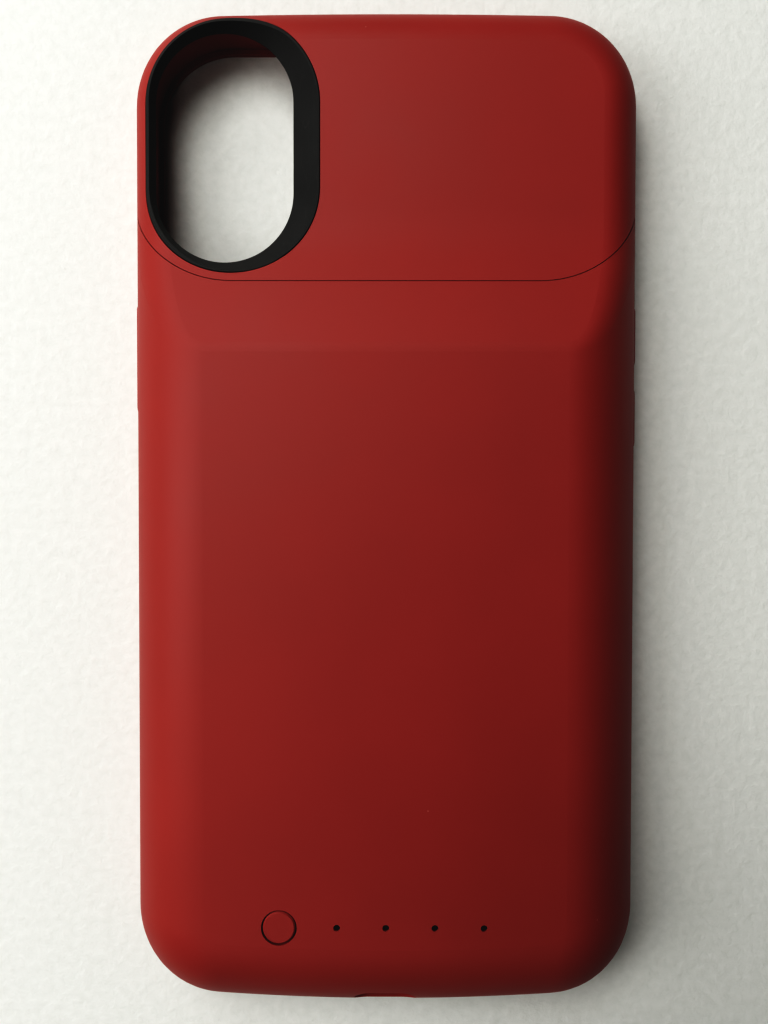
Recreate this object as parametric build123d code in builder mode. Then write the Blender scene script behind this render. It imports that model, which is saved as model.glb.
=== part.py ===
from build123d import *
import math
import os

os.makedirs("parts", exist_ok=True)

# The phone that the case is made for
phone_width = 70.9
phone_length = 143.6
phone_thickness = 7.7
phone_corner = 11.5
phone_gap = 0.2

# Walls round the phone, and the front lip that holds it in
side_wall = 2.2
top_wall = 2.07
bottom_wall = 2.86
top_bow = 0.62
bottom_bow = 1.98
lip_thickness = 1.1
lip_side = 0.65
lip_end = 0.8
lip_round = 0.35
front_round = 1.5

# Back of the closed case: cap level, ramp and hump
cap_back = 3.2
hump_step = 4.0
hump_round = 12.0
crest_from_top = 51.17
ramp_angle = 13.5
foot_round = 32.0
crease_round = 6.0

# Seam between the cap and the shell
seam_from_top = 41.44
seam_round = 15.8
seam_overrun = 0.1
seam_gap = 0.1
wing_height = 8.5

# Camera opening and its funnel ring
ring_width = 25.33
ring_to_side = 2.86
ring_to_end = 2.62
ring_to_seam = 1.36
ring_gap = 0.12
ring_proud = 0.12
rim_side = 0.45
rim_end = 0.65
rim_shift_y = 0.2
eye_side = 2.46
eye_end = 1.86
eye_shift_x = -1.56
eye_shift_y = 0.59
eye_land = 0.4
ring_flange = 0.7
ring_flange_reach = 0.7

# Hollows of the two mouldings
cap_wall = 1.7
cap_land = 2.2
cap_rib = 1.0
cap_rib_pitch = 8.5
shell_wall = 1.7
ledge_width = 1.0
bridge = 1.8

# Rails that carry the cap
rail_x = 30.5
rail_width = 5.0
rail_thickness = 1.5
rail_length = 11.0
rail_lift = 1.3
rail_gap = 0.12
rail_nose = 0.6

# Phone bed that closes the cell space
tray_thickness = 0.9
tray_gap = 0.1
tape_thickness = 0.1
tape_margin = 0.15
fence_wall = 1.0
fence_gap = 0.3
fence_corner = 3.0
lead_gate = 7.0
strut_width = 1.2
strut_x = 27.0
strut_end = 2.0

# Coil and ferrite sheet between the bed and the cell
coil_outer = 44.0
coil_inner = 21.0
coil_thickness = 0.6
coil_turns = 6
coil_groove = 0.25
ferrite_size = 48.0
ferrite_thickness = 0.3
ferrite_corner = 1.5
ferrite_from_bridge = 6.3
lead_width = 1.2
lead_thickness = 0.35
lead_spacing = 3.0
lead_under = 3.0

# Cell, its end seal, protection board and foam
cell_width = 56.0
cell_thickness = 3.2
cell_from_crest = 4.0
cell_edge = 0.9
cell_corner = 2.0
seal_length = 3.5
seal_thickness = 1.0
seal_inset = 2.0
guard_width = 30.0
guard_thickness = 0.8
guard_margin = 0.3
guard_corner = 0.4
foam_width = 9.0
foam_x = 17.0
foam_end = 6.0
flex_width = 6.0
flex_thickness = 0.25
flex_land = 1.9

# Circuit board and what it carries
board_width = 47.0
board_length = 15.0
board_thickness = 0.8
board_from_bottom = 8.0
board_from_cell = 1.6
board_corner = 1.5
post_size = 3.0
can_width = 13.0
can_length = 5.4
can_height = 1.3
can_x = 13.5
can_corner = 0.5
part_margin = 0.8
choke_size = 5.0
choke_height = 1.2
choke_x = -19.0
choke_corner = 0.8
choke_core = 3.8
choke_core_height = 0.2
led_length = 1.6
led_width = 0.8
led_height = 0.6

# Status row on the hump
row_from_bottom = 15.2
button_x = -15.12
button_hole = 5.07
button_gap = 0.2
button_edge = 0.2
button_flange = 0.8
button_flange_thickness = 0.5
button_stem = 2.0
button_travel = 0.25
switch_size = 3.2
switch_height = 1.0
switch_corner = 0.3
plunger_size = 1.5
plunger_height = 0.3
dot_first = -6.88
dot_pitch = 7.0
dot_count = 4
dot_hole = 0.94
dot_gap = 0.04
dot_sink = 0.3
guide_width = 2.6
guide_bar = 0.9
guide_leg = 1.6
guide_lift = 0.15
guide_corner = 0.6

# Charging inlet in the lower end
inlet_width = 8.94
inlet_height = 3.2
inlet_length = 7.3
inlet_metal = 0.3
inlet_sink = 0.5
inlet_gap = 0.15
inlet_from_bottom = 4.75
tab_width = 2.6
tab_length = 2.4
mouth_width = 8.4
mouth_height = 3.8
mouth_taper = 8.0
tongue_width = 6.6
tongue_thickness = 0.7
tongue_length = 5.2
tongue_edge = 0.2

# Openings in the walls for the phone's own parts
port_width = 44.0
port_height = 5.4
mute_from_top = 34.25
mute_length = 7.5
mute_height = 4.6

# Keys over the phone's side buttons
volume_length = 9.5
volume_up_from_top = 45.6
volume_pitch = 12.4
power_length = 17.0
power_from_top = 49.0
key_height = 2.5
key_gap = 0.12
key_proud = 0.1
key_edge = 0.25
key_flange = 0.5
key_flange_reach = 0.7
key_travel = 0.35
key_play = 0.05
keeper_thickness = 0.3
keeper_reach = 1.4
keeper_corner = 0.9
pusher_inset = 1.6
pusher_height = 1.7

# Sizes that follow from the ones above
bay_width = phone_width + 2 * phone_gap
bay_length = phone_length + 2 * phone_gap
bay_corner = phone_corner + phone_gap
case_width = bay_width + 2 * side_wall
case_length = bay_length + top_wall + bottom_wall
case_corner = bay_corner + side_wall
half_width = case_width / 2
half_length = case_length / 2
bay_half = bay_width / 2
bay_top = half_length - top_wall
bay_bottom = bottom_wall - half_length
bay_y = (bay_top + bay_bottom) / 2
phone_top = bay_top - phone_gap
bed_z = lip_thickness + phone_thickness + phone_gap
cap_z = bed_z + cap_back
hump_z = cap_z + hump_step
slope = math.tan(math.radians(ramp_angle))
crest_y = half_length - crest_from_top
foot_y = crest_y + hump_step / slope
seam_y = half_length - seam_from_top
seam_x = half_width + seam_overrun - seam_round
ceiling_z = hump_z - shell_wall
tray_z = bed_z + tray_thickness
ledge_z = tray_z + tape_thickness
bridge_y = seam_y - bridge
board_top = board_from_bottom + board_length - half_length
board_y = board_top - board_length / 2
coil_y = bridge_y - ferrite_from_bridge - ferrite_size / 2
cell_z = tray_z + coil_thickness + ferrite_thickness
cell_top = crest_y - cell_from_crest
cell_bottom = board_top + board_from_cell + seal_length
cell_length = cell_top - cell_bottom
cell_y = (cell_top + cell_bottom) / 2
board_z = cell_z
board_top_z = board_z + board_thickness
row_y = row_from_bottom - half_length
inlet_z = tray_z - inlet_sink + inlet_gap + inlet_height / 2
inlet_y = inlet_from_bottom - half_length
key_z = lip_thickness + phone_thickness / 2
mute_y = phone_top - mute_from_top
volume_up_y = phone_top - volume_up_from_top
volume_down_y = volume_up_y - volume_pitch
power_y = phone_top - power_from_top
ring_length = seam_from_top - ring_to_seam - ring_to_end
ring_x = ring_to_side + ring_width / 2 - half_width
ring_y = half_length - ring_to_end - ring_length / 2
funnel_width = ring_width - 2 * rim_side
funnel_length = ring_length - 2 * rim_end
eye_width = ring_width - 2 * eye_side
eye_length = ring_length - 2 * eye_end


def end_drop(bow, inset):
    """How far a bowed end falls back from its middle to the side lines."""
    bend = (half_width**2 + bow**2) / (2 * bow) - inset
    return bend - math.sqrt(bend**2 - (half_width - inset) ** 2)


def case_plan(inset):
    """Plan of the closed case drawn in by inset: straight sides, bowed ends, round corners."""
    side = half_width - inset
    top = half_length - inset
    bottom = inset - half_length
    top_side = top - end_drop(top_bow, inset)
    bottom_side = bottom + end_drop(bottom_bow, inset)
    with BuildSketch(mode=Mode.PRIVATE) as plan:
        with BuildLine():
            Line((side, bottom_side), (side, top_side))
            ThreePointArc((side, top_side), (0, top), (-side, top_side))
            Line((-side, top_side), (-side, bottom_side))
            ThreePointArc((-side, bottom_side), (0, bottom), (side, bottom_side))
        make_face()
        fillet(plan.vertices(), case_corner - inset)
    return plan.sketch


def case_form(inset, crease):
    """Outer form of the closed case, drawn in by inset, with the ramp's crease rounded."""
    level = cap_z - inset
    foot = foot_y - inset * math.tan(math.radians(ramp_angle / 2))
    sky = hump_z + hump_step
    with BuildPart() as form:
        with BuildSketch():
            add(case_plan(inset))
        extrude(amount=hump_z - inset)
        fillet(form.faces().sort_by(Axis.Z)[-1].edges(), hump_round - inset)
        with BuildSketch(Plane.YZ) as step:
            with BuildLine():
                Polyline(
                    (foot, level),
                    (case_length, level),
                    (case_length, sky),
                    (foot - (sky - level) / slope, sky),
                    close=True,
                )
            make_face()
            fillet(step.vertices().sort_by_distance((foot, level))[0], foot_round + inset)
        extrude(amount=case_width, both=True, mode=Mode.SUBTRACT)
        if crease > 0:
            stepped = form.faces().filter_by(lambda f: f.normal_at().Z > 0.9 and f.center().Y > crest_y)
            rims = stepped.edges()
            fillet([e for e in rims if sum(e.is_same(o) for o in rims) == 1], crease)
    return form.part


def bay_plan(inset, bottom, top):
    """Plan of the phone bay drawn in by inset, between two Y lines."""
    with BuildSketch(mode=Mode.PRIVATE) as plan:
        with Locations((0, (top + bottom) / 2)):
            RectangleRounded(bay_width - 2 * inset, top - bottom - 2 * inset, bay_corner - inset)
    return plan.sketch


def upright_slot(width, length):
    """Stadium outline with its long axis along the case."""
    return SlotOverall(length, width, rotation=90)


def cap_side(gap):
    """All that lies on the cap's side of the seam, held back from it by gap."""
    bend = seam_round - gap
    floor = seam_y + gap
    wing_drop = max(wing_height - (hump_z - hump_round), 0)
    wing_x = half_width - hump_round + math.sqrt(hump_round**2 - wing_drop**2)
    wing_y = seam_y + seam_round - math.sqrt(seam_round**2 - (wing_x - seam_x) ** 2)
    with BuildPart() as side:
        with BuildSketch(Plane.XY.offset(wing_height + gap)):
            with BuildLine():
                Line((0, floor), (seam_x, floor))
                CenterArc((seam_x, seam_y + seam_round), bend, -90, 90)
                Line((seam_x + bend, seam_y + seam_round), (case_width, seam_y + seam_round))
                Line((case_width, seam_y + seam_round), (case_width, case_length))
                Line((case_width, case_length), (0, case_length))
                Line((0, case_length), (0, floor))
            make_face()
            mirror(about=Plane.YZ)
        extrude(amount=hump_z)
        with BuildSketch(Plane.XY.offset(-1)):
            with Locations((0, wing_y + gap)):
                Rectangle(2 * case_width, case_length, align=(Align.CENTER, Align.MIN))
        extrude(amount=wing_height + 1 + gap)
    return side.part


def side_plane(side, y):
    """Plane through the middle of the case that faces one side, centred on a key."""
    return Plane(origin=(0, y, key_z), x_dir=(0, 1, 0), z_dir=(side, 0, 0))


key_wall = side_wall - keeper_thickness - key_travel - key_flange - 2 * key_play
key_floor = half_width - key_wall
flange_out = key_floor - key_play
flange_in = flange_out - key_flange


def press_key(side, y, length):
    """Pass-through key: head in the wall, flange behind it, pusher toward the phone."""
    face = side_plane(side, y)
    with BuildPart() as key:
        with BuildSketch(face.offset(flange_out)):
            SlotOverall(length, key_height)
        extrude(amount=half_width + key_proud - flange_out)
        tip = key.faces().sort_by(Axis.X)[-1 if side > 0 else 0]
        chamfer(tip.edges(), key_edge)
        with BuildSketch(face.offset(flange_in)):
            SlotOverall(length + 2 * key_flange_reach, key_height + 2 * key_flange_reach)
        extrude(amount=key_flange)
        with BuildSketch(face.offset(bay_half + keeper_thickness / 2)):
            RectangleRounded(length - 2 * pusher_inset, pusher_height, pusher_height / 3)
        extrude(amount=flange_in - bay_half - keeper_thickness / 2)
    return key.part


def key_pocket(side, middle, length, keys, key_length):
    """Recess in the wall for a set of keys and their keeper, with one window a key."""
    with BuildPart() as pocket:
        with BuildSketch(side_plane(side, middle).offset(bay_half - 1)):
            RectangleRounded(length, key_height + 2 * keeper_reach, keeper_corner + key_gap)
        extrude(amount=key_floor - bay_half + 1)
        for y in keys:
            with BuildSketch(side_plane(side, y).offset(key_floor)):
                SlotOverall(key_length + 2 * key_gap, key_height + 2 * key_gap)
            extrude(amount=side_wall)
    return pocket.part


def keeper(side, middle, length, keys, key_length):
    """Thin plate that closes the recess behind the keys."""
    with BuildPart() as plate:
        with BuildSketch(side_plane(side, middle).offset(bay_half)):
            RectangleRounded(length - 2 * key_gap, key_height + 2 * keeper_reach - 2 * key_gap, keeper_corner)
        extrude(amount=keeper_thickness)
        for y in keys:
            with BuildSketch(side_plane(side, y).offset(bay_half - 1)):
                Rectangle(key_length - 2 * pusher_inset + 2 * key_gap, pusher_height + 2 * key_gap)
            extrude(amount=2 + keeper_thickness, mode=Mode.SUBTRACT)
    return plate.part


# Room for the phone, open at the front inside the lip
with BuildPart() as phone_space:
    with BuildSketch(Plane.XY.offset(lip_thickness)):
        add(bay_plan(0, bay_bottom, bay_top))
    extrude(amount=bed_z - lip_thickness)
    with BuildSketch(Plane.XY.offset(-1)):
        with Locations((0, bay_y)):
            RectangleRounded(bay_width - 2 * lip_side, bay_length - 2 * lip_end, bay_corner - lip_side)
    extrude(amount=lip_thickness + 1.5)

# The closed case before it is parted at the seam
with BuildPart() as whole_case:
    add(case_form(0, crease_round))
    fillet(whole_case.faces().sort_by(Axis.Z)[0].edges(), front_round)
    add(phone_space.part, mode=Mode.SUBTRACT)
    rim = whole_case.faces().sort_by(Axis.Z)[0]
    fillet(rim.inner_wires()[0].edges(), lip_round)

# Space in the hump for the cell and the board
with BuildPart() as cell_space:
    add(case_form(shell_wall, 0))
    with BuildSketch(Plane.XY.offset(ledge_z)):
        add(bay_plan(ledge_width, bay_bottom, bridge_y))
    extrude(amount=hump_z, mode=Mode.INTERSECT)

# Shell: hump, sides, lower end and front lip in one moulding
pair_y = (volume_up_y + volume_down_y) / 2
pair_length = volume_pitch + volume_length + 2 * keeper_reach
volume_keys = (volume_up_y, volume_down_y)
with BuildPart() as back_shell:
    add(whole_case.part)
    add(cap_side(0), mode=Mode.SUBTRACT)
    with BuildSketch(Plane.XY.offset(bed_z)):
        add(bay_plan(0, bay_bottom, bridge_y))
    extrude(amount=ledge_z - bed_z, mode=Mode.SUBTRACT)
    add(cell_space.part, mode=Mode.SUBTRACT)
    # channels for the cap's rails
    with BuildSketch(Plane.XZ.offset(-seam_y - seam_round)):
        with Locations((rail_x, bed_z + rail_lift + rail_thickness / 2)):
            Rectangle(rail_width + 2 * rail_gap, rail_thickness + 2 * rail_gap)
        mirror(about=Plane.YZ)
    extrude(amount=seam_round + rail_length + 1, mode=Mode.SUBTRACT)
    # status row
    with BuildSketch(Plane.XY.offset(ceiling_z - 1)):
        with Locations((button_x, row_y)):
            Circle(button_hole / 2)
        for n in range(dot_count):
            with Locations((dot_first + n * dot_pitch, row_y)):
                Circle(dot_hole / 2)
    extrude(amount=shell_wall + 2, mode=Mode.SUBTRACT)
    # charging inlet: seat for the receptacle and the flared mouth in front of it
    with BuildSketch(Plane.XZ.offset(-inlet_y)):
        with Locations((0, inlet_z)):
            SlotOverall(inlet_width + 2 * inlet_gap, inlet_height + 2 * inlet_gap)
    extrude(amount=-inlet_length, mode=Mode.SUBTRACT)
    with BuildSketch(Plane.XZ.offset(-inlet_y - 0.5)):
        with Locations((0, inlet_z)):
            SlotOverall(mouth_width, mouth_height)
    extrude(amount=inlet_from_bottom + 1, taper=-mouth_taper, mode=Mode.SUBTRACT)
    # opening for the phone's own port and sound holes
    with BuildSketch(Plane.XZ.offset(-bay_bottom - 1)):
        with Locations((0, key_z)):
            SlotOverall(port_width, port_height)
    extrude(amount=bottom_wall + 2, mode=Mode.SUBTRACT)
    # side openings
    with BuildSketch(side_plane(1, mute_y).offset(bay_half - 1)):
        SlotOverall(mute_length, mute_height)
    extrude(amount=side_wall + 2, mode=Mode.SUBTRACT)
    add(key_pocket(1, pair_y, pair_length, volume_keys, volume_length), mode=Mode.SUBTRACT)
    add(
        key_pocket(-1, power_y, power_length + 2 * keeper_reach, [power_y], power_length),
        mode=Mode.SUBTRACT,
    )
back_shell.part.label = "back_shell"
export_step(back_shell.part, "parts/back_shell.step")

# Pockets under the cap's back, with ribs left between them
with BuildPart() as cap_pockets:
    add(case_form(cap_wall, 0))
    pocket_left = ring_x + ring_width / 2 + ring_flange_reach + cap_land
    pocket_right = bay_half - cap_land
    pocket_low = seam_y + seam_round / 2
    pocket_high = bay_top - cap_land
    with BuildSketch(Plane.XY.offset(bed_z - 1)):
        with Locations(((pocket_left + pocket_right) / 2, (pocket_low + pocket_high) / 2)):
            RectangleRounded(pocket_right - pocket_left, pocket_high - pocket_low, bay_corner - cap_land)
            rib_count = int((pocket_right - pocket_left) / cap_rib_pitch)
            with GridLocations(cap_rib_pitch, 1, rib_count, 1):
                Rectangle(cap_rib, case_length, mode=Mode.SUBTRACT)
    extrude(amount=hump_z, mode=Mode.INTERSECT)

# Cap: slides off along the case on two rails
with BuildPart() as top_cap:
    add(whole_case.part)
    add(cap_side(seam_gap), mode=Mode.INTERSECT)
    with BuildSketch(Plane.XZ.offset(-seam_y - seam_round / 2)) as rail_ends:
        with Locations((rail_x, bed_z + rail_lift + rail_thickness / 2)):
            Rectangle(rail_width, rail_thickness)
        mirror(about=Plane.YZ)
    extrude(amount=seam_round / 2 + rail_length)
    chamfer(top_cap.faces().sort_by(Axis.Y)[:2].edges(), rail_nose)
    add(cap_pockets.part, mode=Mode.SUBTRACT)
    with BuildSketch(Plane.XY.offset(bed_z - 1)):
        with Locations((ring_x, ring_y)):
            upright_slot(ring_width + 2 * ring_gap, ring_length + 2 * ring_gap)
    extrude(amount=hump_z, mode=Mode.SUBTRACT)
    with BuildSketch(Plane.XY.offset(bed_z)):
        with Locations((ring_x, ring_y)):
            flange_room = 2 * (ring_flange_reach + ring_gap)
            upright_slot(ring_width + flange_room, ring_length + flange_room)
        add(bay_plan(0, bay_bottom, bay_top), mode=Mode.INTERSECT)
    extrude(amount=ring_flange, mode=Mode.SUBTRACT)
top_cap.part.label = "top_cap"
export_step(top_cap.part, "parts/top_cap.step")

# Funnel of the camera opening, wide at the back and narrow at the phone
funnel_z = bed_z + eye_land
flare = (hump_z - funnel_z) / (cap_z - funnel_z)
with BuildPart() as funnel:
    with BuildSketch(Plane.XY.offset(funnel_z)):
        with Locations((ring_x + eye_shift_x, ring_y + eye_shift_y)):
            upright_slot(eye_width, eye_length)
    with BuildSketch(Plane.XY.offset(hump_z)):
        shift_x = eye_shift_x * (1 - flare)
        shift_y = eye_shift_y + (rim_shift_y - eye_shift_y) * flare
        with Locations((ring_x + shift_x, ring_y + shift_y)):
            upright_slot(
                eye_width + (funnel_width - eye_width) * flare,
                eye_length + (funnel_length - eye_length) * flare,
            )
    loft(ruled=True)
    with BuildSketch(Plane.XY.offset(bed_z - 1)):
        with Locations((ring_x + eye_shift_x, ring_y + eye_shift_y)):
            upright_slot(eye_width, eye_length)
    extrude(amount=1 + eye_land)

# Ring: follows the cap's back, a little proud of it, with a flange behind the cap
with BuildPart() as camera_ring:
    add(case_form(-ring_proud, crease_round))
    with BuildSketch(Plane.XY.offset(bed_z)):
        with Locations((ring_x, ring_y)):
            upright_slot(ring_width, ring_length)
    extrude(amount=hump_z, mode=Mode.INTERSECT)
    with BuildSketch(Plane.XY.offset(bed_z)):
        with Locations((ring_x, ring_y)):
            upright_slot(ring_width + 2 * ring_flange_reach, ring_length + 2 * ring_flange_reach)
        add(bay_plan(ring_gap, bay_bottom, bay_top), mode=Mode.INTERSECT)
    extrude(amount=ring_flange)
    add(funnel.part, mode=Mode.SUBTRACT)
camera_ring.part.label = "camera_ring"
export_step(camera_ring.part, "parts/camera_ring.step")

# Bed plate that the phone lies on, with fences and struts for what lies behind it
lead_bottom = board_top - lead_under
fence_size = ferrite_size + 2 * (fence_gap + fence_wall)
with BuildPart() as inner_tray:
    with BuildSketch(Plane.XY.offset(bed_z)):
        add(bay_plan(tray_gap, bay_bottom, bridge_y))
    extrude(amount=tray_thickness)
    with BuildSketch(Plane.XY.offset(tray_z)):
        with Locations((0, coil_y)):
            RectangleRounded(fence_size, fence_size, fence_corner)
            hollow = ferrite_size + 2 * fence_gap
            RectangleRounded(hollow, hollow, fence_corner - fence_wall, mode=Mode.SUBTRACT)
            with Locations((0, -fence_size / 2)):
                Rectangle(lead_gate, 4 * fence_wall, mode=Mode.SUBTRACT)
        for side in (-1, 1):
            with Locations((side * strut_x, cell_y)):
                Rectangle(strut_width, cell_length - 2 * strut_end)
    extrude(amount=cell_z - tray_z)
    with BuildSketch(Plane.XY.offset(tray_z)):
        with Locations((0, board_y)):
            with GridLocations(board_width - 2 * post_size, board_length - 2 * post_size, 2, 2):
                Circle(post_size / 2)
    extrude(amount=board_z - tray_z)
    # relief below the charging inlet
    with BuildSketch(Plane.XY.offset(tray_z - inlet_sink)):
        with Locations((0, inlet_y - inlet_gap)):
            relief_width = inlet_width + 2 * inlet_gap
            Rectangle(relief_width, inlet_length + 2 * inlet_gap, align=(Align.CENTER, Align.MIN))
    extrude(amount=tray_thickness, mode=Mode.SUBTRACT)
inner_tray.part.label = "inner_tray"
export_step(inner_tray.part, "parts/inner_tray.step")

# Die-cut adhesive loop between the tray and its ledge
with BuildPart() as tray_adhesive:
    with BuildSketch(Plane.XY.offset(tray_z)):
        add(bay_plan(tray_gap + tape_margin, bay_bottom, bridge_y))
        add(bay_plan(ledge_width - tape_margin / 2, bay_bottom, bridge_y), mode=Mode.SUBTRACT)
    extrude(amount=tape_thickness)
tray_adhesive.part.label = "tray_adhesive"
export_step(tray_adhesive.part, "parts/tray_adhesive.step")

# Flat coil that feeds the phone: grooves between the turns, two leads to the board
turn = (coil_outer - coil_inner) / 2 / coil_turns
with BuildPart() as charging_coil:
    with BuildSketch(Plane.XY.offset(tray_z)):
        with Locations((0, coil_y)):
            Circle(coil_outer / 2)
            Circle(coil_inner / 2, mode=Mode.SUBTRACT)
    extrude(amount=coil_thickness)
    with BuildSketch(Plane.XY.offset(tray_z + coil_thickness / 2)):
        with Locations((0, coil_y)):
            for n in range(1, coil_turns):
                Circle(coil_inner / 2 + n * turn + coil_groove / 2)
                Circle(coil_inner / 2 + n * turn - coil_groove / 2, mode=Mode.SUBTRACT)
    extrude(amount=coil_thickness, mode=Mode.SUBTRACT)
    lead_top = coil_y - coil_outer / 2 + turn
    with BuildSketch(Plane.XY.offset(tray_z)):
        for side in (-1, 1):
            with Locations((side * lead_spacing / 2, lead_top)):
                Rectangle(lead_width, lead_top - lead_bottom, align=(Align.CENTER, Align.MAX))
    extrude(amount=lead_thickness)
    with BuildSketch(Plane.XY.offset(tray_z)):
        for side in (-1, 1):
            with Locations((side * lead_spacing / 2, lead_bottom)):
                Rectangle(lead_width, lead_width, align=(Align.CENTER, Align.MIN))
    extrude(amount=board_z - tray_z)
charging_coil.part.label = "charging_coil"
export_step(charging_coil.part, "parts/charging_coil.step")

# Ferrite sheet behind the coil
with BuildPart() as ferrite_sheet:
    with BuildSketch(Plane.XY.offset(tray_z + coil_thickness)):
        with Locations((0, coil_y)):
            RectangleRounded(ferrite_size, ferrite_size, ferrite_corner)
    extrude(amount=ferrite_thickness)
ferrite_sheet.part.label = "ferrite_sheet"
export_step(ferrite_sheet.part, "parts/ferrite_sheet.step")

# Pouch cell with its end seal
with BuildPart() as battery_cell:
    with BuildSketch(Plane.XY.offset(cell_z)):
        with Locations((0, cell_y)):
            RectangleRounded(cell_width, cell_length, cell_corner)
    extrude(amount=cell_thickness)
    chamfer(battery_cell.faces().sort_by(Axis.Z)[-1].edges(), cell_edge)
    with BuildSketch(Plane.XY.offset(cell_z)):
        with Locations((0, cell_bottom + 1)):
            Rectangle(cell_width - 2 * seal_inset, seal_length + 1, align=(Align.CENTER, Align.MAX))
    extrude(amount=seal_thickness)
battery_cell.part.label = "battery_cell"
export_step(battery_cell.part, "parts/battery_cell.step")

# Protection board on the end seal
guard_y = cell_bottom - seal_length / 2
with BuildPart() as cell_protection_board:
    with BuildSketch(Plane.XY.offset(cell_z + seal_thickness)):
        with Locations((0, guard_y)):
            RectangleRounded(guard_width, seal_length - 2 * guard_margin, guard_corner)
    extrude(amount=guard_thickness)
cell_protection_board.part.label = "cell_protection_board"
export_step(cell_protection_board.part, "parts/cell_protection_board.step")

# Foam strips that fill the play between the cell and the hump
with BuildPart() as cell_foam:
    with BuildSketch(Plane.XY.offset(cell_z + cell_thickness)):
        for side in (-1, 1):
            with Locations((side * foam_x, cell_y)):
                Rectangle(foam_width, cell_length - 2 * foam_end)
    extrude(amount=ceiling_z - cell_z - cell_thickness)
cell_foam.part.label = "cell_foam"
export_step(cell_foam.part, "parts/cell_foam.step")

# Circuit board, cut out round the inlet
with BuildPart() as circuit_board:
    with BuildSketch(Plane.XY.offset(board_z)):
        with Locations((0, board_y)):
            RectangleRounded(board_width, board_length, board_corner)
        with Locations((0, inlet_y)):
            notch = inlet_width + 2 * inlet_gap
            Rectangle(notch, inlet_length + inlet_gap, align=(Align.CENTER, Align.MIN), mode=Mode.SUBTRACT)
    extrude(amount=board_thickness)
circuit_board.part.label = "circuit_board"
export_step(circuit_board.part, "parts/circuit_board.step")

# Flat lead from the protection board over to the circuit board
flex_top = cell_z + seal_thickness + guard_thickness
flex_x = -guard_width / 4
with BuildPart() as cell_flex:
    with BuildSketch(Plane.YZ.offset(flex_x - flex_width / 2)):
        with BuildLine():
            Polyline(
                (guard_y, flex_top),
                (cell_bottom - seal_length, flex_top),
                (board_top, board_top_z),
                (board_top - flex_land, board_top_z),
                (board_top - flex_land, board_top_z + flex_thickness),
                (board_top + flex_thickness, board_top_z + flex_thickness),
                (cell_bottom - seal_length + flex_thickness, flex_top + flex_thickness),
                (guard_y, flex_top + flex_thickness),
                close=True,
            )
        make_face()
    extrude(amount=flex_width)
cell_flex.part.label = "cell_flex"
export_step(cell_flex.part, "parts/cell_flex.step")

# Shield can over the charging electronics
with BuildPart() as shield_can:
    with BuildSketch(Plane.XY.offset(board_top_z)):
        with Locations((can_x, board_top - part_margin - can_length / 2)):
            RectangleRounded(can_width, can_length, can_corner)
    extrude(amount=can_height)
shield_can.part.label = "shield_can"
export_step(shield_can.part, "parts/shield_can.step")

# Inductor of the voltage converter
with BuildPart() as power_inductor:
    with BuildSketch(Plane.XY.offset(board_top_z)):
        with Locations((choke_x, board_top - part_margin - choke_size / 2)):
            RectangleRounded(choke_size, choke_size, choke_corner)
    extrude(amount=choke_height)
    with BuildSketch(Plane.XY.offset(board_top_z + choke_height)):
        with Locations((choke_x, board_top - part_margin - choke_size / 2)):
            Circle(choke_core / 2)
    extrude(amount=choke_core_height)
power_inductor.part.label = "power_inductor"
export_step(power_inductor.part, "parts/power_inductor.step")

# Switch below the status button
with BuildPart() as tact_switch:
    with BuildSketch(Plane.XY.offset(board_top_z)):
        with Locations((button_x, row_y)):
            RectangleRounded(switch_size, switch_size, switch_corner)
    extrude(amount=switch_height)
    with BuildSketch(Plane.XY.offset(board_top_z + switch_height)):
        with Locations((button_x, row_y)):
            Circle(plunger_size / 2)
    extrude(amount=plunger_height)
tact_switch.part.label = "tact_switch"
export_step(tact_switch.part, "parts/tact_switch.step")

# Status button: head flush with the hump, flange under its skin, stem over the switch
stem_z = board_top_z + switch_height + plunger_height + button_travel + key_play
with BuildPart() as status_button:
    add(case_form(0, 0))
    with BuildSketch(Plane.XY.offset(ceiling_z - key_play)):
        with Locations((button_x, row_y)):
            Circle(button_hole / 2 - button_gap)
    extrude(amount=hump_z, mode=Mode.INTERSECT)
    chamfer(status_button.faces().sort_by(Axis.Z)[-1].edges(), button_edge)
    with BuildSketch(Plane.XY.offset(ceiling_z - key_play - button_flange_thickness)):
        with Locations((button_x, row_y)):
            Circle(button_hole / 2 + button_flange)
    extrude(amount=button_flange_thickness)
    with BuildSketch(Plane.XY.offset(stem_z)):
        with Locations((button_x, row_y)):
            Circle(button_stem / 2)
    extrude(amount=ceiling_z - key_play - button_flange_thickness - stem_z)
status_button.part.label = "status_button"
export_step(status_button.part, "parts/status_button.step")

# Four lamps on the board, in line with the dots
dots = [(dot_first + n * dot_pitch, row_y) for n in range(dot_count)]
with BuildPart() as status_leds:
    with BuildSketch(Plane.XY.offset(board_top_z)):
        with Locations(dots):
            Rectangle(led_length, led_width)
    extrude(amount=led_height)
status_leds.part.label = "status_leds"
export_step(status_leds.part, "parts/status_leds.step")

# Light guide: a bar under the hump's skin, a leg over each lamp and a pip in each hole
with BuildPart() as light_guide:
    with BuildSketch(Plane.XY.offset(ceiling_z - guide_bar)):
        with Locations((dot_first + (dot_count - 1) * dot_pitch / 2, row_y)):
            RectangleRounded((dot_count - 1) * dot_pitch + 2 * guide_width, guide_width, guide_corner)
    extrude(amount=guide_bar)
    with BuildSketch(Plane.XY.offset(board_top_z + led_height + guide_lift)):
        with Locations(dots):
            Circle(guide_leg / 2)
    extrude(amount=ceiling_z - guide_bar - board_top_z - led_height - guide_lift)
    with BuildSketch(Plane.XY.offset(ceiling_z)):
        with Locations(dots):
            Circle(dot_hole / 2 - dot_gap)
    extrude(amount=shell_wall - dot_sink)
light_guide.part.label = "light_guide"
export_step(light_guide.part, "parts/light_guide.step")

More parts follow.
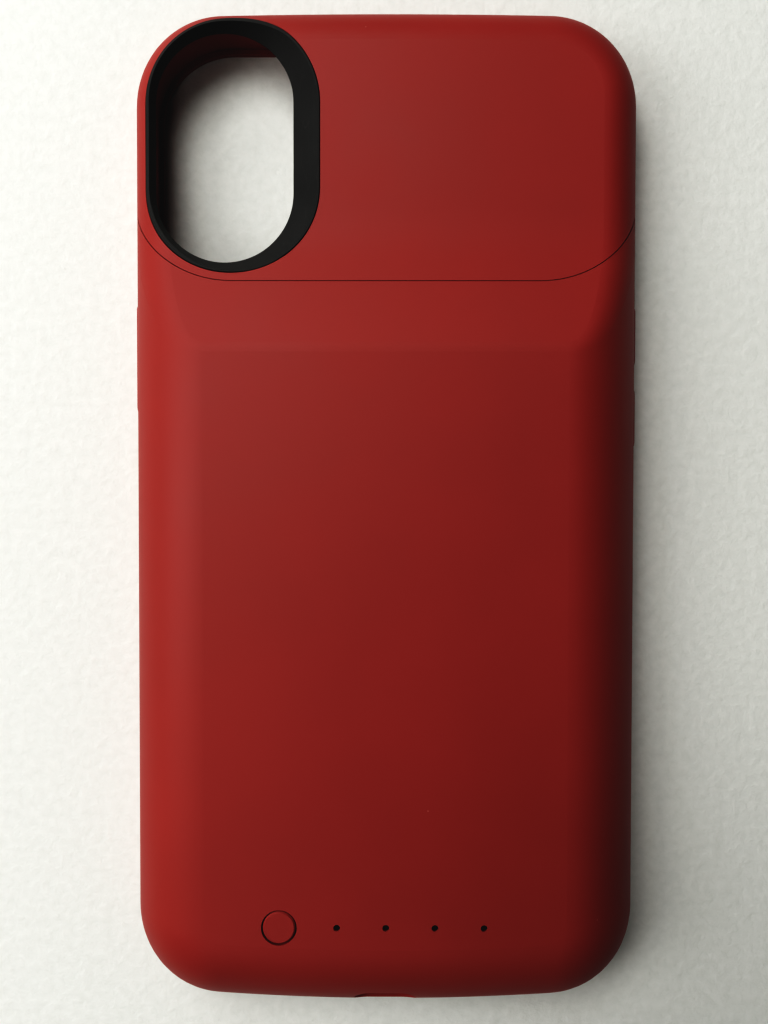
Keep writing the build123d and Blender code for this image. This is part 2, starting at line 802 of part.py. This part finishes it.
# Charging inlet: drawn metal shell with tabs that lie on the board
with BuildPart() as input_receptacle:
    with BuildSketch(Plane.XZ.offset(-inlet_y)):
        with Locations((0, inlet_z)):
            SlotOverall(inlet_width, inlet_height)
    extrude(amount=-inlet_length)
    with BuildSketch(Plane.XZ.offset(-inlet_y)):
        with Locations((0, inlet_z)):
            SlotOverall(inlet_width - 2 * inlet_metal, inlet_height - 2 * inlet_metal)
    extrude(amount=-(inlet_length - 2 * inlet_metal), mode=Mode.SUBTRACT)
    with BuildSketch(Plane.XY.offset(board_top_z)):
        for side in (-1, 1):
            with Locations((side * inlet_width / 2, inlet_y + inlet_length * 0.6)):
                Rectangle(tab_width, tab_length)
        with Locations((0, inlet_y)):
            Rectangle(inlet_width - 2 * inlet_metal, 4 * inlet_length, mode=Mode.SUBTRACT)
    extrude(amount=inlet_metal)
input_receptacle.part.label = "input_receptacle"
export_step(input_receptacle.part, "parts/input_receptacle.step")

# Contact blade in the middle of the inlet
with BuildPart() as receptacle_tongue:
    with BuildSketch(Plane.XZ.offset(2 * inlet_metal - inlet_length - inlet_y)):
        with Locations((0, inlet_z)):
            Rectangle(tongue_width, tongue_thickness)
    extrude(amount=tongue_length)
    chamfer(receptacle_tongue.faces().sort_by(Axis.Y)[0].edges().filter_by(Axis.X), tongue_edge)
receptacle_tongue.part.label = "receptacle_tongue"
export_step(receptacle_tongue.part, "parts/receptacle_tongue.step")

# Side keys and the plates that keep them in the wall
volume_up_key = press_key(1, volume_up_y, volume_length)
volume_up_key.label = "volume_up_key"
export_step(volume_up_key, "parts/volume_up_key.step")

volume_down_key = press_key(1, volume_down_y, volume_length)
volume_down_key.label = "volume_down_key"
export_step(volume_down_key, "parts/volume_down_key.step")

side_key = press_key(-1, power_y, power_length)
side_key.label = "side_key"
export_step(side_key, "parts/side_key.step")

volume_key_retainer = keeper(1, pair_y, pair_length, volume_keys, volume_length)
volume_key_retainer.label = "volume_key_retainer"
export_step(volume_key_retainer, "parts/volume_key_retainer.step")

side_key_retainer = keeper(-1, power_y, power_length + 2 * keeper_reach, [power_y], power_length)
side_key_retainer.label = "side_key_retainer"
export_step(side_key_retainer, "parts/side_key_retainer.step")
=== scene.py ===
# %% [markdown]
# # A battery charging case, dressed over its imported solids
#
# The solids come from the part's own source, so every shape and size is already right.
# What is left for Blender is the finish of each piece, the paper it lies on, the light
# and the camera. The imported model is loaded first, because everything else is measured
# from it.

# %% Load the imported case
import math

import bpy
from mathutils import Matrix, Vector


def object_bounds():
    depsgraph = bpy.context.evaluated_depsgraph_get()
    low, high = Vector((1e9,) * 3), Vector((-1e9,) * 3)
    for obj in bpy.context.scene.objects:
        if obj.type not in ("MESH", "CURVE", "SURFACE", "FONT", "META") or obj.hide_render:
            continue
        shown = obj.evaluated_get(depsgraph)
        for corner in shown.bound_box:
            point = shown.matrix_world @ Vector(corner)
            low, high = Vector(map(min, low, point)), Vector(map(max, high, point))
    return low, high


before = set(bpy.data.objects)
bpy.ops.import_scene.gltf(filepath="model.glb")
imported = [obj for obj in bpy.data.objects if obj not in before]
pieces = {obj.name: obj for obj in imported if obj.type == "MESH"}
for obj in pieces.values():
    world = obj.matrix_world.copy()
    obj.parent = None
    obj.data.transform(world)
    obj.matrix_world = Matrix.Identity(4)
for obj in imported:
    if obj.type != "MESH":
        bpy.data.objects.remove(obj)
cad_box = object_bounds()


def box_in_mm(box):
    """Lengths of a box's sides, in millimetres."""
    return [round(1000 * (high - low), 1) for low, high in zip(*box)]


print("case in mm:", box_in_mm(cad_box))

# %% [markdown]
# ## Camera
#
# The case lies face down and the lens looks almost straight down on it from very near,
# which is why the taller hump looks wider than the cap. A long lens from far away would
# give the same framing but not that swelling, so the lens keeps the real distance. The
# sensor width is that of the long side of the picture, which is its height here.

# %% Hang the camera over the case
picture_height = 1024
focal_pixels = 850
sensor_long_side = 36.0
nearest_seen, farthest_seen = 0.005, 20.0
camera_place = (0.00017, 0.00247, 0.1360)
camera_turn = [math.radians(angle) for angle in (-1.161, 0.186, 0.075)]

lens = bpy.data.cameras.new("overhead_camera")
lens.sensor_width = sensor_long_side
lens.lens = focal_pixels / picture_height * sensor_long_side
lens.clip_start = nearest_seen
lens.clip_end = farthest_seen
camera = bpy.data.objects.new("overhead_camera", lens)
camera.location = camera_place
camera.rotation_euler = camera_turn
bpy.context.collection.objects.link(camera)
bpy.context.scene.camera = camera
print("lens in mm:", round(lens.lens, 2))

# %% [markdown]
# ## Window light
#
# Soft daylight comes in from the far left corner and from the left, each low and high, and
# a weak pane at the near end fills the shadows. A sun lamp would cut hard shadows into the
# paper, so each window is a big square pane that is turned to the middle of the case. The
# camera doesn't see the panes themselves.

# %% Window panes
pane_size = 0.30
daylight = (1.0, 0.995, 0.975)
panes = {
    "corner_high_pane": ((-0.137, 0.238, 0.476), 1.86),
    "corner_low_pane": ((-0.258, 0.448, 0.188), 0.63),
    "left_low_pane": ((-0.421, 0.0, 0.354), 1.21),
    "left_high_pane": ((-0.275, 0.0, 0.476), 0.43),
    "near_fill": ((0.0, -0.275, 0.476), 0.69),
}
for name, (place, watts) in panes.items():
    lamp = bpy.data.lights.new(name, "AREA")
    lamp.shape = "SQUARE"
    lamp.size = pane_size
    lamp.energy = watts
    lamp.color = daylight
    pane = bpy.data.objects.new(name, lamp)
    pane.location = place
    pane.rotation_euler = (-Vector(place)).to_track_quat("-Z", "Y").to_euler()
    pane.visible_camera = False
    bpy.context.collection.objects.link(pane)
    print(name, "at", place, "with", watts, "W")

# %% [markdown]
# ## Small tools for node trees
#
# The room and every finish are trees of nodes. Written out node by node, such a tree is
# long and hides what matters. So one helper fills a node's sockets, from a value or from
# another node's output, one adds a node, and one makes the change of range that nearly
# every tree needs.

# %% Node helpers
def fill(node, sockets):
    """Gives each socket, by name or number, a value or a link from another node."""
    for key, value in sockets.items():
        if isinstance(value, bpy.types.NodeSocket):
            node.id_data.links.new(value, node.inputs[key])
        else:
            node.inputs[key].default_value = value


def put(tree, kind, sockets=None, **settings):
    """Adds a node with its settings, and fills its sockets."""
    made = tree.nodes.new(kind)
    for name, value in settings.items():
        setattr(made, name, value)
    fill(made, sockets or {})
    return made


def span(tree, value, low, high):
    """Number that goes from low to high as the value goes from 0 to 1."""
    ends = {"Value": value, "To Min": low, "To Max": high}
    return put(tree, "ShaderNodeMapRange", ends).outputs["Result"]


print("helpers for nodes: fill, put and span")

# %% [markdown]
# ## Room
#
# Behind the paper stands a pale wall. A bright world would show it, but would also light
# the case from all sides and flatten its form. So the wall is bright only for rays that
# come straight from the camera, and the panes alone shape the case.

# %% Pale wall
wall_tint = (0.97, 0.97, 0.95, 1.0)
wall_light, wall_seen = 0.004, 0.8

room = bpy.data.worlds.new("room_light")
room.use_nodes = True
bpy.context.scene.world = room
ray = put(room.node_tree, "ShaderNodeLightPath")
glow = span(room.node_tree, ray.outputs["Is Camera Ray"], wall_light, wall_seen)
fill(room.node_tree.nodes["Background"], {"Color": wall_tint, "Strength": glow})
print("wall:", wall_seen, "for the camera,", wall_light, "for the case")

# %% [markdown]
# ## Tone
#
# A small camera holds back the dark tones and lifts the bright ones, and a veil of stray
# light in its lens keeps black from being fully black. Darker paints could imitate that,
# but only in one light. The same bend in the view's tone curve works in any light, and
# the colours of the finishes stay honest.

# %% Tone curve
veil = 0.003
tone_points = (
    (0.05, 0.0075),
    (0.1, 0.022),
    (0.2, 0.0816),
    (0.35, 0.2337),
    (0.5, 0.4266),
    (0.75, 0.7462),
    (0.9, 0.9078),
)
combined_curve = 3

view = bpy.context.scene.view_settings
view.view_transform = "Standard"
view.use_curve_mapping = True
tone = view.curve_mapping.curves[combined_curve]
tone.points[0].location = (0.0, veil)
for light_in, light_out in tone_points:
    tone.points.new(light_in, light_out)
view.curve_mapping.update()
print("points on the tone curve:", len(tone.points))

# %% [markdown]
# ## Shared effects
#
# Grain, dust and scuffs are alike on many pieces. Copied nodes would drift apart, so each
# effect is one group of nodes, and every finish gives it its own numbers through named
# sockets. All of them measure in the object's own metres, so an effect keeps its size on
# every piece and moves with it.

# %% Group helpers
def shared_group(name, inputs, outputs):
    """Empty group with named numbers in and out, and its two end nodes."""
    group = bpy.data.node_groups.new(name, "ShaderNodeTree")
    for label, default in inputs.items():
        socket = group.interface.new_socket(label, in_out="INPUT", socket_type="NodeSocketFloat")
        socket.default_value = default
    for label in outputs:
        group.interface.new_socket(label, in_out="OUTPUT", socket_type="NodeSocketFloat")
    print("group", name, "takes", ", ".join(inputs), "and gives", ", ".join(outputs))
    return group, put(group, "NodeGroupInput"), put(group, "NodeGroupOutput")


def object_place(tree):
    """Position in the object's own metres."""
    return put(tree, "ShaderNodeTexCoord").outputs["Object"]


def noise(tree, place, scale, detail, roughness=0.5):
    """Cloudy number around one half, with so many waves per metre."""
    look = {"Vector": place, "Scale": scale, "Detail": detail, "Roughness": roughness}
    return put(tree, "ShaderNodeTexNoise", look).outputs[0]


print("helpers for groups: shared_group, object_place and noise")

# %% [markdown]
# ## Moulded grain
#
# Every moulded or coated face of the case has a fine grain, and clouds a little in colour
# and gloss over some centimetres. Real bumps in the mesh would need millions of faces, so
# one noise gives a height for the light to catch on, and a broader one gives the clouds.

# %% Grain group
cloud_low, cloud_high = 0.3, 0.7

grain, given, result = shared_group(
    "moulded_grain", {"Grains per m": 6000.0, "Clouds per m": 45.0}, ["Height", "Cloud"]
)
place = object_place(grain)
fine = noise(grain, place, given.outputs["Grains per m"], detail=3.0, roughness=0.6)
broad = noise(grain, place, given.outputs["Clouds per m"], detail=4.0, roughness=0.55)
stretch = {"Value": broad, "From Min": cloud_low, "From Max": cloud_high}
cloud = put(grain, "ShaderNodeMapRange", stretch).outputs["Result"]
fill(result, {"Height": fine, "Cloud": cloud})

# %% [markdown]
# ## Dust and lint
#
# A soft coating holds on to dust. Dots in a regular pattern would look printed. Here each
# cell of a Voronoi pattern is one possible speck, and a random number per cell keeps only
# a few of them, so they are rare and uneven.

# %% Dust group
def maths(tree, operation, *values):
    """Result of one step of arithmetic."""
    return put(tree, "ShaderNodeMath", dict(enumerate(values)), operation=operation).outputs[0]


dust, given, result = shared_group(
    "lint_specks", {"Cells per m": 420.0, "Speck size": 0.055, "Share": 0.1}, ["Mask"]
)
layout = {"Vector": object_place(dust), "Scale": given.outputs["Cells per m"]}
cells = put(dust, "ShaderNodeTexVoronoi", layout)
near = maths(dust, "LESS_THAN", cells.outputs["Distance"], given.outputs["Speck size"])
luck = put(dust, "ShaderNodeSeparateColor", {"Color": cells.outputs["Color"]}).outputs["Red"]
kept = maths(dust, "LESS_THAN", luck, given.outputs["Share"])
fill(result, {"Mask": maths(dust, "MULTIPLY", near, kept)})

# %% [markdown]
# ## Hairline scuffs
#
# Plastic and sheet metal pick up short fine scuffs. Drawn lines would all be straight and
# alike. Noise that is squeezed in one direction draws streaks instead, and a narrow band
# around its middle value leaves only thin lines.

# %% Scuff group
streak_squeeze = (1.0, 0.12, 1.0)
streak_turn = (0.0, 0.0, 0.6)
noise_middle = 0.5

scuff, given, result = shared_group(
    "hairline_scuffs", {"Lines per m": 900.0, "Width": 0.012}, ["Mask"]
)
turned = {"Vector": object_place(scuff), "Scale": streak_squeeze, "Rotation": streak_turn}
squeezed = put(scuff, "ShaderNodeMapping", turned).outputs[0]
streaks = noise(scuff, squeezed, given.outputs["Lines per m"], detail=1.0)
apart = maths(scuff, "ABSOLUTE", maths(scuff, "SUBTRACT", streaks, noise_middle))
fill(result, {"Mask": maths(scuff, "LESS_THAN", apart, given.outputs["Width"])})

# %% [markdown]
# ## A finish and the pieces that wear it
#
# Each finish is a material with one Principled shader and its own grain. No real surface
# has one flat colour and one flat gloss, so for most finishes both drift between two
# values over the clouds. The pieces then get the finish in place of the flat colour they
# were packed with.

# %% Finish helpers
def mix_colour(tree, share, low, high):
    """Colour from low to high as the share goes from 0 to 1."""
    low, high = (
        end if isinstance(end, bpy.types.NodeSocket) else (*end, 1.0) for end in (low, high)
    )
    # By number, because several sockets of this node have the same name
    mixer = put(tree, "ShaderNodeMix", {0: share, 6: low, 7: high}, data_type="RGBA")
    return mixer.outputs[2]


def new_finish(name, grains, clouds):
    """Material with a Principled shader and a grain, both still without any effect."""
    finish = bpy.data.materials.new(name)
    finish.use_nodes = True
    tree = finish.node_tree
    tree.nodes.clear()
    shader = put(tree, "ShaderNodeBsdfPrincipled")
    put(tree, "ShaderNodeOutputMaterial", {"Surface": shader.outputs[0]})
    counts = {"Grains per m": grains, "Clouds per m": clouds}
    return finish, shader, put(tree, "ShaderNodeGroup", counts, node_tree=grain)


def clouded_finish(name, grains, clouds, tints, gloss):
    """Finish whose tint and roughness drift over its clouds."""
    finish, shader, skin = new_finish(name, grains, clouds)
    cloud = skin.outputs["Cloud"]
    tint = mix_colour(finish.node_tree, cloud, *tints)
    fill(shader, {"Base Color": tint, "Roughness": span(finish.node_tree, cloud, *gloss)})
    return finish, shader, skin


def emboss(shader, height, depth, strength):
    """Bump of a depth in metres into the shader's normal."""
    relief = {"Height": height, "Distance": depth, "Strength": strength}
    fill(shader, {"Normal": put(shader.id_data, "ShaderNodeBump", relief).outputs[0]})


def wear_finish(finish, *names):
    """Gives the named pieces this finish."""
    for name in names:
        mesh = pieces[name].data
        mesh.materials.clear()
        mesh.materials.append(finish)
    print(finish.name, "on", ", ".join(names))


print("helpers for finishes: mix_colour, new_finish, clouded_finish, emboss and wear_finish")

# %% [markdown]
# ## Soft-touch red
#
# The two mouldings, the keys and the button are sprayed with a matt rubbery coating. It
# has no clear reflection, only a broad dull sheen, and a very fine grain. A plain matt
# red would look like card, so gloss and colour both cloud a little and lint shows here
# and there.

# %% Red coating
def source(shader, name):
    """Output that feeds a socket of the shader so far."""
    return shader.inputs[name].links[0].from_socket


def mark(shader, group, counts, share, tint):
    """Lays the marks of a shared group over the finish, with a share of their own tint."""
    tree = shader.id_data
    mask = put(tree, "ShaderNodeGroup", counts, node_tree=group).outputs["Mask"]
    below = source(shader, "Base Color")
    fill(shader, {"Base Color": mix_colour(tree, span(tree, mask, 0.0, share), below, tint)})


red, shader, skin = clouded_finish(
    "soft_touch_red",
    grains=7000.0,
    clouds=38.0,
    tints=((0.325, 0.0522, 0.0442), (0.348, 0.0553, 0.0472)),
    gloss=(0.52, 0.6),
)
red_lint = {"Cells per m": 330.0, "Speck size": 0.045, "Share": 0.035}
mark(shader, dust, red_lint, share=0.22, tint=(0.62, 0.42, 0.38))
fill(shader, {"Specular IOR Level": 0.45, "Sheen Weight": 0.045})
fill(shader, {"Sheen Roughness": 0.5, "Sheen Tint": (1.0, 0.9, 0.92, 1.0)})
emboss(shader, skin.outputs["Height"], depth=0.000012, strength=0.5)
wear_finish(red, "back_shell", "top_cap", "status_button")
wear_finish(red, "volume_up_key", "volume_down_key", "side_key")

# %% [markdown]
# ## Black camera ring
#
# The ring is black so that it throws no red light into the camera. It is moulded with a
# satin grain. Pure black would lose its form in the picture, so it is a dark grey with
# little reflection and a few hairline scuffs.

# %% Satin black
black, shader, skin = clouded_finish(
    "satin_black",
    grains=9000.0,
    clouds=90.0,
    tints=((0.047, 0.047, 0.046), (0.056, 0.056, 0.055)),
    gloss=(0.5, 0.6),
)
ring_scuffs = {"Lines per m": 700.0, "Width": 0.006}
mark(shader, scuff, ring_scuffs, share=0.12, tint=(0.12, 0.12, 0.115))
fill(shader, {"Specular IOR Level": 0.12})
emboss(shader, skin.outputs["Height"], depth=0.000010, strength=0.5)
wear_finish(black, "camera_ring")

# %% [markdown]
# ## Bed under the phone
#
# The phone lies on a bed of matt black plastic. The ring's finish would do, but a bed is
# moulded coarser and nobody wipes it, so it gets a deeper grain and more lint.

# %% Matt black
bed, shader, skin = clouded_finish(
    "matt_black_bed",
    grains=3500.0,
    clouds=30.0,
    tints=((0.014, 0.014, 0.015), (0.021, 0.021, 0.022)),
    gloss=(0.62, 0.74),
)
bed_lint = {"Cells per m": 260.0, "Speck size": 0.05, "Share": 0.08}
mark(shader, dust, bed_lint, share=0.3, tint=(0.3, 0.3, 0.29))
emboss(shader, skin.outputs["Height"], depth=0.000030, strength=0.6)
wear_finish(bed, "inner_tray")

# %% [markdown]
# ## Smoked light guide
#
# The four dots are the tips of one moulded bar of dark smoked plastic. A clear material
# with a dark tint would be truer, but unlit tips this small only read as nearly black
# holes with a faint gloss, so a smooth dark brown is enough.

# %% Smoked plastic
smoke, _, _ = clouded_finish(
    "smoked_plastic",
    grains=5000.0,
    clouds=200.0,
    tints=((0.010, 0.008, 0.008), (0.018, 0.014, 0.013)),
    gloss=(0.16, 0.26),
)
wear_finish(smoke, "light_guide")

# %% [markdown]
# ## Metals
#
# The inlet's drawn shell, the keepers behind the keys and the tinned shield can are bare
# metal. Sheet metal shows fine scuffs and a gloss that changes with them. Three separate
# trees could make them, but only tint and roughness tell them apart, so one function does.

# %% Sheet metals
scuff_roughness = 0.12


def sheet_metal(name, tints, gloss):
    """Bare sheet metal with a clouded tint, rougher along its fine scuffs."""
    metal, shader, skin = clouded_finish(
        name, grains=4000.0, clouds=160.0, tints=tints, gloss=gloss
    )
    tree = metal.node_tree
    counts = {"Lines per m": 2200.0, "Width": 0.02}
    lines = put(tree, "ShaderNodeGroup", counts, node_tree=scuff).outputs["Mask"]
    clean = source(shader, "Roughness")
    fill(shader, {"Roughness": maths(tree, "MULTIPLY_ADD", lines, scuff_roughness, clean)})
    fill(shader, {"Metallic": 1.0})
    emboss(shader, skin.outputs["Height"], depth=0.000006, strength=0.4)
    return metal


steel = sheet_metal("drawn_steel", ((0.42, 0.42, 0.41), (0.55, 0.55, 0.53)), (0.28, 0.4))
wear_finish(steel, "input_receptacle")
spring = sheet_metal("spring_steel", ((0.36, 0.36, 0.37), (0.47, 0.47, 0.47)), (0.32, 0.45))
wear_finish(spring, "volume_key_retainer", "side_key_retainer")
can = sheet_metal("tinned_can", ((0.6, 0.59, 0.56), (0.7, 0.69, 0.66)), (0.22, 0.36))
wear_finish(can, "shield_can")

# %% [markdown]
# ## Contact blade
#
# The blade inside the inlet is black plastic with a row of gold contacts on both faces.
# They could be modelled one by one, but they lie flush in the plastic. So they are stripes
# across the blade's width, drawn by a sine wave in metres.

# %% Blade with gold contacts
contact_pitch = 0.0005
contact_edge = -0.1

blade, shader, skin = clouded_finish(
    "contact_blade",
    grains=6000.0,
    clouds=300.0,
    tints=((0.012, 0.012, 0.012), (0.02, 0.02, 0.02)),
    gloss=(0.28, 0.4),
)
tree = blade.node_tree
across = put(tree, "ShaderNodeSeparateXYZ", {"Vector": object_place(tree)}).outputs["X"]
wave = maths(tree, "SINE", maths(tree, "MULTIPLY", across, 2 * math.pi / contact_pitch))
stripe = maths(tree, "GREATER_THAN", wave, contact_edge)
gold = mix_colour(tree, skin.outputs["Cloud"], (0.68, 0.45, 0.16), (0.78, 0.55, 0.22))
striped = mix_colour(tree, stripe, source(shader, "Base Color"), gold)
fill(shader, {"Base Color": striped, "Metallic": stripe})
wear_finish(blade, "receptacle_tongue")

# %% [markdown]
# ## Foil of the cell
#
# The cell is a pouch of silvery foil. It is never quite flat, and a smooth metal would
# look like a machined block, so the broad clouds are pressed into its surface as well.

# %% Pouch foil
foil, shader, skin = clouded_finish(
    "pouch_foil",
    grains=2500.0,
    clouds=140.0,
    tints=((0.56, 0.56, 0.57), (0.66, 0.66, 0.66)),
    gloss=(0.3, 0.46),
)
fill(shader, {"Metallic": 0.9})
emboss(shader, skin.outputs["Cloud"], depth=0.00012, strength=0.5)
wear_finish(foil, "battery_cell")

# %% [markdown]
# ## Copper of the coil
#
# The coil is wound from lacquered copper wire. Its turns are grooves in the solid, so the
# finish adds no pattern of its own, only the warm tint of copper under a thin lacquer.

# %% Lacquered copper
copper, shader, skin = clouded_finish(
    "lacquered_copper",
    grains=5000.0,
    clouds=120.0,
    tints=((0.5, 0.2, 0.09), (0.62, 0.27, 0.13)),
    gloss=(0.26, 0.38),
)
fill(shader, {"Metallic": 1.0})
emboss(shader, skin.outputs["Height"], depth=0.00002, strength=0.5)
wear_finish(copper, "charging_coil")

# %% [markdown]
# ## Boards
#
# Both boards are green lacquer over copper tracks, which show through as paler lines. A
# drawn picture of tracks would need an image, so the joints of a brick pattern stand in
# for them, slightly raised.

# %% Green boards
bricks = {
    "Scale": 420.0,
    "Mortar Size": 0.03,
    "Color1": (0.006, 0.05, 0.022, 1.0),
    "Color2": (0.007, 0.06, 0.026, 1.0),
    "Mortar": (0.02, 0.12, 0.05, 1.0),
}
board, shader, skin = new_finish("green_board", grains=4000.0, clouds=200.0)
tree = board.node_tree
tracks = put(tree, "ShaderNodeTexBrick", {"Vector": object_place(tree), **bricks})
lacquer = span(tree, skin.outputs["Cloud"], low=0.3, high=0.42)
fill(shader, {"Base Color": tracks.outputs["Color"], "Roughness": lacquer})
emboss(shader, tracks.outputs["Fac"], depth=0.00003, strength=0.5)
wear_finish(board, "circuit_board", "cell_protection_board")

# %% [markdown]
# ## The last small pieces
#
# Ferrite, foam, tape, lamps, the flat lead and the switch are dull stuffs of one colour.
# Each could have a tree of its own, but they are told apart only by tint, gloss and how
# coarse their surface is, so one function makes them all from a table. The inductor is
# pressed from the same ferrite as the sheet.

# %% Dull stuffs
def dull_stuff(name, tints, gloss, grains, depth):
    """Plain moulded or cut material with its own tint, gloss and coarseness."""
    stuff, shader, skin = clouded_finish(name, grains, clouds=130.0, tints=tints, gloss=gloss)
    emboss(shader, skin.outputs["Height"], depth, strength=0.6)
    return stuff


ferrite_tints = ((0.03, 0.03, 0.032), (0.045, 0.045, 0.047))
foam_tints = ((0.05, 0.05, 0.053), (0.09, 0.09, 0.092))
tape_tints = ((0.5, 0.47, 0.4), (0.6, 0.57, 0.5))
resin_tints = ((0.72, 0.7, 0.55), (0.82, 0.8, 0.68))
flex_tints = ((0.33, 0.13, 0.02), (0.42, 0.18, 0.03))
switch_tints = ((0.015, 0.015, 0.016), (0.03, 0.03, 0.03))
small_pieces = (
    ("grey_ferrite", ferrite_tints, (0.5, 0.65), 3000.0, 0.00002, "ferrite_sheet"),
    ("cell_foam_grey", foam_tints, (0.85, 0.95), 1500.0, 0.00012, "cell_foam"),
    ("adhesive_tape", tape_tints, (0.35, 0.5), 2500.0, 0.00001, "tray_adhesive"),
    ("lamp_resin", resin_tints, (0.25, 0.35), 4000.0, 0.00001, "status_leds"),
    ("amber_flex", flex_tints, (0.3, 0.42), 3000.0, 0.00001, "cell_flex"),
    ("switch_black", switch_tints, (0.4, 0.5), 4000.0, 0.00001, "tact_switch"),
)
for name, tints, gloss, grains, depth, wearer in small_pieces:
    wear_finish(dull_stuff(name, tints, gloss, grains, depth), wearer)
wear_finish(bpy.data.materials["grey_ferrite"], "power_inductor")

# %% [markdown]
# ## Paper underneath
#
# The case lies on plain white drawing paper. An evenly white sheet would look like an
# empty background, so a soft tooth in its colour and surface catches the light. It lies
# at the lowest point of the solids.

# %% Paper
paper_size = 0.8
tooth_depth = 0.00016
paper_low, paper_high = (0.73, 0.745, 0.71), (0.87, 0.88, 0.845)

bpy.ops.mesh.primitive_plane_add(size=paper_size, location=(0.0, 0.0, cad_box[0][2]))
floor = bpy.context.object
floor.name = "paper_floor"
paper, shader, tooth = new_finish("white_paper", grains=620.0, clouds=8.0)
tree = paper.node_tree
tint = mix_colour(tree, tooth.outputs["Height"], paper_low, paper_high)
dull = span(tree, tooth.outputs["Cloud"], low=0.8, high=0.9)
fill(shader, {"Base Color": tint, "Roughness": dull})
emboss(shader, tooth.outputs["Height"], tooth_depth, strength=1.0)
floor.data.materials.append(paper)
print("paper:", paper_size, "m wide, at", round(cad_box[0][2], 4), "m")

# %% [markdown]
# ## Shading card
#
# A camera that hangs so low keeps some daylight off the near half of the case. Weaker
# panes would darken the far half too, so a black card takes the camera's place in the
# light. The picture itself doesn't show it.

# %% Black card
card_place = (0.012, -0.065, 0.139)
card_width, card_length = 0.08, 0.15
card_tints = ((0.008, 0.008, 0.008), (0.012, 0.012, 0.012))

bpy.ops.mesh.primitive_plane_add(size=1.0, location=card_place)
card = bpy.context.object
card.name = "shading_card"
card.scale = (card_width, card_length, 1.0)
card.visible_camera = False
card.data.materials.append(dull_stuff("card_black", card_tints, (0.8, 0.9), 900.0, 0.00002))
print("card:", card_width, "by", card_length, "m, at", card_place)
